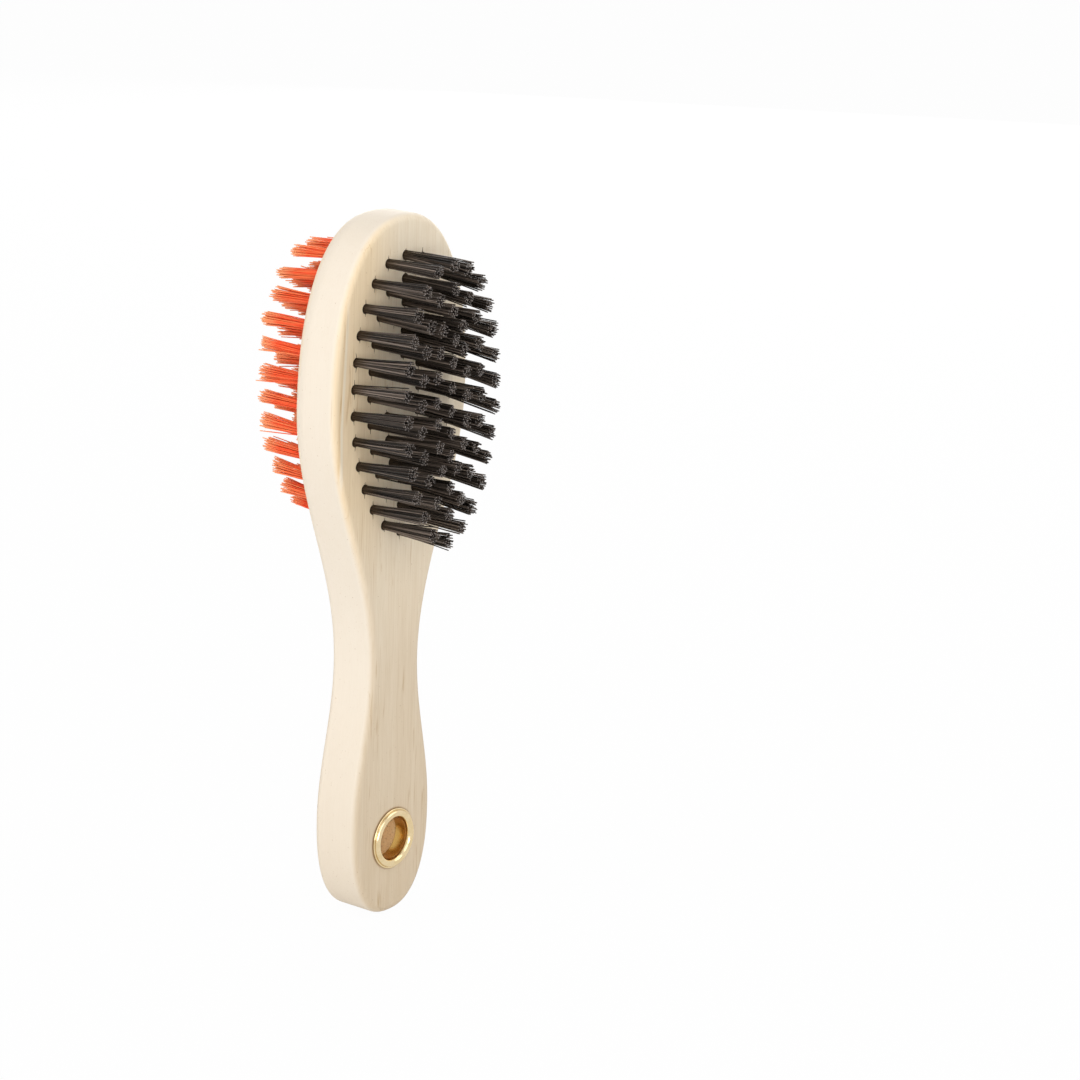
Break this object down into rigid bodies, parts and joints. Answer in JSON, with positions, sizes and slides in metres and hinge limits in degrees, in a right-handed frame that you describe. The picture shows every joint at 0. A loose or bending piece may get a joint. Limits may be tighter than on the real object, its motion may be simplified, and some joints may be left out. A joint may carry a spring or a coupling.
{
  "type": "double-sided brush",
  "caption": "Double-sided clothes brush: a flat wooden paddle with black bristles on one face and orange bristles on the other, and a hanging hole lined with brass eyelets.",
  "frame": {"origin": "centre of the hanging hole, midway between the two faces", "axes": "+Z runs along the brush from the handle to the head, +X across its width, +Y through its thickness: the black bristles point along -Y and the orange ones along +Y"},
  "size_m": [0.0578, 0.0524, 0.201],
  "materials": {
    "wood": "smooth sanded pale hardwood, unvarnished, fine straight grain along the brush",
    "brass": "polished",
    "black_nylon": "stiff straight bristles, satin",
    "orange_nylon": "soft bristles with splayed ends, satin"
  },
  "bodies": {
    "root": {"back_eyelet": "brass", "black_centre_tufts_1": "black_nylon", "black_centre_tufts_2": "black_nylon", "black_inner_tufts_1": "black_nylon", "black_inner_tufts_2": "black_nylon", "black_inner_tufts_3": "black_nylon", "black_inner_tufts_4": "black_nylon", "black_inner_tufts_5": "black_nylon", "black_middle_tufts_1": "black_nylon", "black_middle_tufts_2": "black_nylon", "black_middle_tufts_3": "black_nylon", "black_middle_tufts_4": "black_nylon", "black_middle_tufts_5": "black_nylon", "black_middle_tufts_6": "black_nylon", "black_middle_tufts_7": "black_nylon", "black_outer_tufts_1": "black_nylon", "black_outer_tufts_2": "black_nylon", "black_outer_tufts_3": "black_nylon", "black_outer_tufts_4": "black_nylon", "black_outer_tufts_5": "black_nylon", "black_outer_tufts_6": "black_nylon", "black_outer_tufts_7": "black_nylon", "black_outer_tufts_8": "black_nylon", "black_outer_tufts_9": "black_nylon", "front_eyelet": "brass", "orange_centre_tufts_1": "orange_nylon", "orange_centre_tufts_2": "orange_nylon", "orange_inner_tufts_1": "orange_nylon", "orange_inner_tufts_2": "orange_nylon", "orange_inner_tufts_3": "orange_nylon", "orange_inner_tufts_4": "orange_nylon", "orange_inner_tufts_5": "orange_nylon", "orange_middle_tufts_1": "orange_nylon", "orange_middle_tufts_2": "orange_nylon", "orange_middle_tufts_3": "orange_nylon", "orange_middle_tufts_4": "orange_nylon", "orange_middle_tufts_5": "orange_nylon", "orange_middle_tufts_6": "orange_nylon", "orange_middle_tufts_7": "orange_nylon", "orange_outer_tufts_1": "orange_nylon", "orange_outer_tufts_2": "orange_nylon", "orange_outer_tufts_3": "orange_nylon", "orange_outer_tufts_4": "orange_nylon", "orange_outer_tufts_5": "orange_nylon", "orange_outer_tufts_6": "orange_nylon", "orange_outer_tufts_7": "orange_nylon", "orange_outer_tufts_8": "orange_nylon", "orange_outer_tufts_9": "orange_nylon", "wood_body": "wood"}
  },
  "joints": []
}
